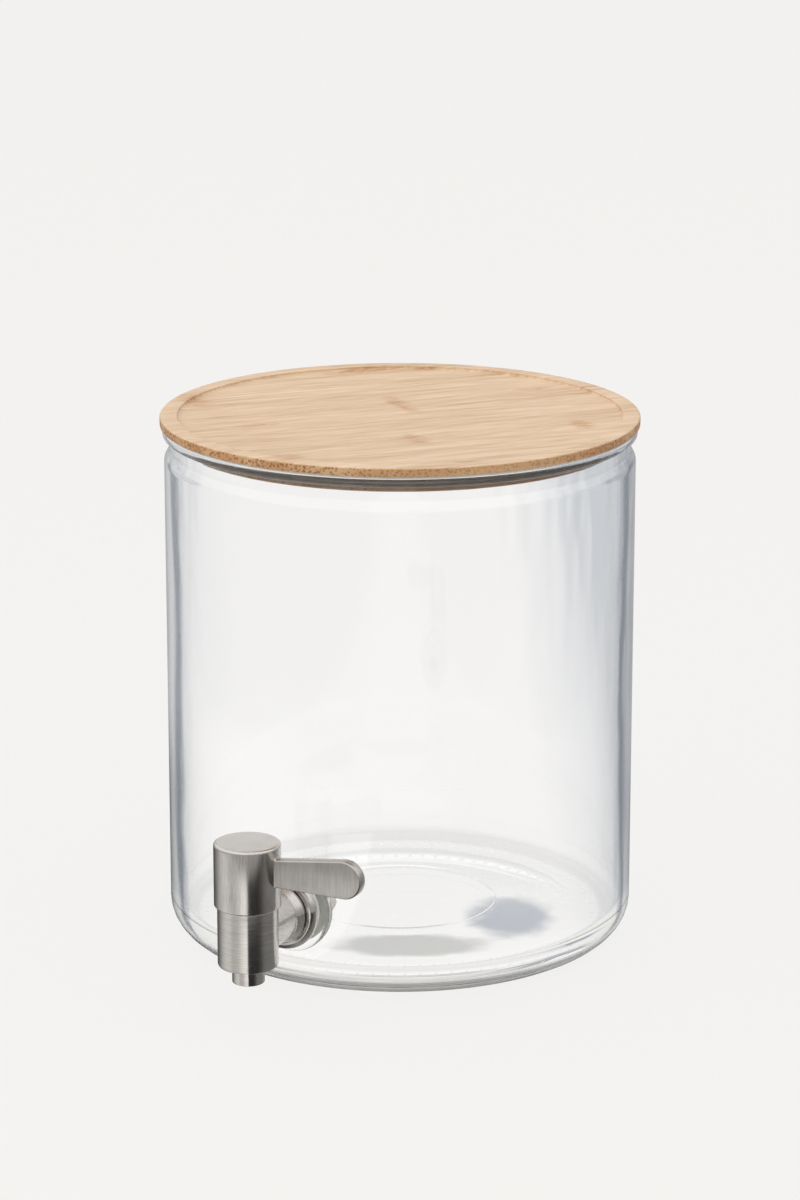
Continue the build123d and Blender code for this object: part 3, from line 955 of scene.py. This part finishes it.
def sweep_light(add, across, ahead):
    """Brightness of the studio by the turn from the camera: bright at left, dark at right."""
    turn_angle = maths(add, "ARCTAN2", across, ahead)
    share = rescale(add, turn_angle, -math.pi, math.pi)
    stops = [
        (-180, 0.08), (-150, 0.06), (-130, 0.16), (-117, 0.31), (-98, 0.56), (-83, 0.68),
        (-68, 0.68), (-55, 0.52), (-43, 0.53), (-32, 0.60), (-20, 0.86), (-9, 1.0), (-1, 1.0),
        (2, 0.05), (13, 0.02), (36, 0.02), (48, 0.06),
        (60, 0.15), (75, 0.18), (105, 0.20), (126, 0.32), (150, 0.24), (165, 0.10), (180, 0.08),
    ]
    greys = [((angle + 180) / 360, (level, level, level * 0.99)) for angle, level in stops]
    return ramp(add, share, *greys)


table_top, add = paint("pale_table")
place = add("TexCoord").outputs["Object"]
from_tap = vectors(add, "SUBTRACT", place, tap_axis)
across = vectors(add, "DOT_PRODUCT", from_tap, rightwards)
ahead = vectors(add, "DOT_PRODUCT", from_tap, towards_camera)
studio = sweep_light(add, across, ahead)
away = vectors(add, "LENGTH", from_tap)
beyond = rescale(add, away, 0.28, 0.45, curve="SMOOTHSTEP")
before = vectors(add, "DOT_PRODUCT", place, towards_camera)
in_front = rescale(add, before, 0.28, 0.36, curve="SMOOTHSTEP")
beyond = maths(add, "MAXIMUM", beyond, in_front)
studio = blend(add, beyond, studio, (0.36, 0.36, 0.36, 1))
# What the glass shows of the table is painted with shade: darker to the right, to the sides and
# towards the front.
beside = vectors(add, "DOT_PRODUCT", place, rightwards)
shade_right = ramp(
    add, beside, (0.07, (1, 1, 1)), (0.11, (0.86, 0.87, 0.89)), (0.16, (0.62, 0.65, 0.69))
)
beside = maths(add, "ABSOLUTE", beside)
back = maths(add, "MULTIPLY_ADD", before, -1, 0.02)
back = maths(add, "MAXIMUM", back, 0.06)
past = maths(add, "MULTIPLY_ADD", back, -0.06, beside)
past = maths(add, "SUBTRACT", past, 0.092)
spread = maths(add, "DIVIDE", past, back)
backdrop_shade = ramp(
    add,
    spread,
    (0.10, (1, 1, 1)),
    (0.16, (0.97, 0.97, 0.97)),
    (0.30, (0.92, 0.92, 0.93)),
    (0.42, (0.84, 0.85, 0.87)),
    (0.55, (0.74, 0.76, 0.79)),
    (1.0, (0.70, 0.72, 0.75)),
)
front = ramp(add, before, (0.088, (1, 1, 1)), (0.11, (0.85, 0.85, 0.84)), (0.3, (0.68, 0.68, 0.68)))
backdrop_shade = vectors(add, "MULTIPLY", backdrop_shade, front)
backdrop_shade = vectors(add, "MULTIPLY", backdrop_shade, shade_right)
backdrop_shade = vectors(add, "MULTIPLY", backdrop_shade, (1.0, 0.99, 0.975))
uneven = add("TexNoise", Vector=place, Scale=70, Detail=3).outputs["Fac"]
# Painted shade: soft dark patches on the table that only rays through the glass see.
painted_shade_patches = (
    (45, 8, 20, 30, (0.42, 0.45, 0.51)),
    (4, 44, 36, 17, (0.58, 0.58, 0.56)),
)
for x, y, wide, deep, shade in painted_shade_patches:
    shape_centre = rightwards * x * mm + towards_camera * y * mm
    offset = vectors(add, "SUBTRACT", place, shape_centre)
    over = vectors(add, "DOT_PRODUCT", offset, rightwards / (wide * mm))
    down = vectors(add, "DOT_PRODUCT", offset, towards_camera / (deep * mm))
    spot = add("CombineXYZ", X=over, Y=down).outputs[0]
    far = vectors(add, "LENGTH", spot)
    ragged = maths(add, "MULTIPLY_ADD", uneven, 0.5, far)
    inside = rescale(add, ragged, 1.3, 0.85, curve="SMOOTHSTEP")
    backdrop_shade = blend(add, inside, backdrop_shade, (*shade, 1))
path = add("LightPath")
pale = (0.895, 0.888, 0.872, 1)
reflected = add("Emission", Color=studio, Strength=1.25)
behind_glass = add("Emission", Color=backdrop_shade, Strength=0.97)
plain = add("Emission", Color=pale, Strength=0.998)
matt = add("BsdfDiffuse", Color=(0.9, 0.89, 0.88, 1))
seen = add("MixShader", Fac=0.05, i1=plain.outputs[0], i2=matt.outputs[0])
reflection = path.outputs["Is Glossy Ray"]
mirrored = add("MixShader", Fac=reflection, i1=seen.outputs[0], i2=reflected.outputs[0])
trapped = maths(add, "GREATER_THAN", path.outputs["Glossy Depth"], most_bounces)
from_glass = maths(add, "MAXIMUM", path.outputs["Is Transmission Ray"], trapped)
both = add("MixShader", Fac=from_glass, i1=mirrored.outputs[0], i2=behind_glass.outputs[0])
add("OutputMaterial", Surface=both.outputs[0])
floor.data.materials.append(table_top)

world = bpy.data.worlds.new("studio")
bpy.context.scene.world = world
world.use_nodes = True
add = node_adder(world.node_tree)
heading = add("TexCoord").outputs["Generated"]
rise = add("SeparateXYZ", Vector=heading).outputs["Z"]
overhead = ramp(
    add,
    rise,
    (0, (0.36, 0.36, 0.36)),
    (0.2, (0.54, 0.54, 0.54)),
    (0.4, (0.92, 0.92, 0.92)),
    (0.8, (1, 1, 1)),
)
away = vectors(add, "DOT_PRODUCT", heading, towards_camera)
turned_off = rescale(add, away, -1, 1)
# Seen through the glass the world is painted darker the further it turns away from the camera.
backdrop_shade = ramp(
    add,
    turned_off,
    (0.02, (0.93, 0.92, 0.91)),
    (0.08, (0.90, 0.90, 0.90)),
    (0.25, (0.82, 0.83, 0.84)),
    (0.6, (0.74, 0.76, 0.78)),
)
path = add("LightPath")
above = add("Background", Color=overhead, Strength=1.2)
past_glass = add("Background", Color=backdrop_shade, Strength=1.02)
plain_light = add("Background", Color=pale, Strength=0.95)
reflection = path.outputs["Is Glossy Ray"]
mirrored = add("MixShader", Fac=reflection, i1=plain_light.outputs[0], i2=above.outputs[0])
refraction = path.outputs["Is Transmission Ray"]
both = add("MixShader", Fac=refraction, i1=mirrored.outputs[0], i2=past_glass.outputs[0])
add("OutputWorld", Surface=both.outputs[0])


def softbox(name, place, size, power):
    """A square lamp that faces the jar."""
    bpy.ops.object.light_add(type="AREA", location=place)
    lamp = bpy.context.object
    lamp.name = name
    lamp.data.shape = "SQUARE"
    lamp.data.size = size
    lamp.data.energy = power
    lamp.visible_glossy = False
    lamp.visible_transmission = False
    aim = Vector((0, 0, 0.1)) - Vector(place)
    lamp.rotation_euler = aim.to_track_quat("-Z", "Y").to_euler()


softbox("top_light", Vector((0, 0, 1.8)) + towards_camera * 0.3, 1.6, 9)
softbox("left_light", rightwards * -1.3 + towards_camera * 0.7 + Vector((0, 0, 0.9)), 1.0, 7)

bpy.ops.object.camera_add(location=towards_camera * camera_distance + Vector((0, 0, camera_height)))
camera = bpy.context.object
camera.name = "camera"
camera.rotation_euler = (math.radians(90 - camera_pitch), 0, camera_turn)
camera.data.sensor_fit = "AUTO"
camera.data.sensor_width = 36
camera.data.lens = camera_lens
bpy.context.scene.camera = camera
bpy.context.scene.view_settings.view_transform = "Standard"
